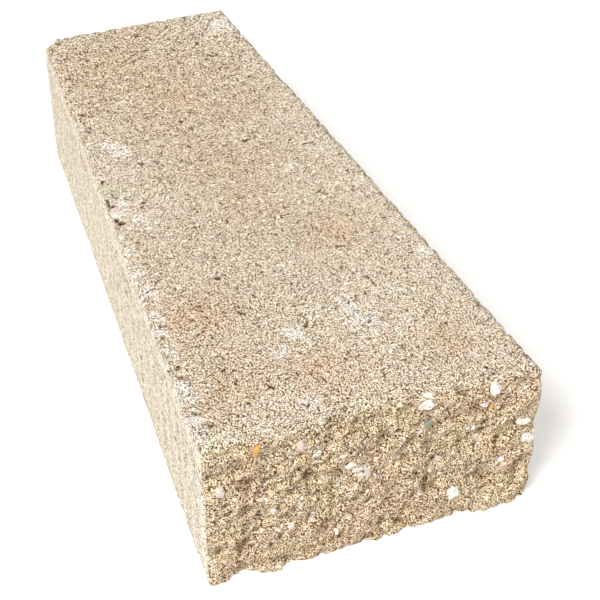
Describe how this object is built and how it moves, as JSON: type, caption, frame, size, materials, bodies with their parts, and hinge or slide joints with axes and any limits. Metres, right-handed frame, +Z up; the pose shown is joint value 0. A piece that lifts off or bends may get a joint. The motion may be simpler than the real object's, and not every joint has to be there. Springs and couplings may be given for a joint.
{
  "type": "concrete wall cap",
  "caption": "Tapered concrete coping block for the top of a wall, moulded on five sides, with one rough split end face that stays in view.",
  "frame": {"origin": "middle of the bed, the flat underside, in plan the middle of the block's bounding box", "axes": "+Z up out of the top; +Y along the block's length, from the broken face towards the moulded back; +X across the block"},
  "size_m": [0.1518, 0.36, 0.076],
  "materials": {
    "concrete": "matte"
  },
  "bodies": {
    "root": {"wall_cap": "concrete"}
  },
  "joints": []
}
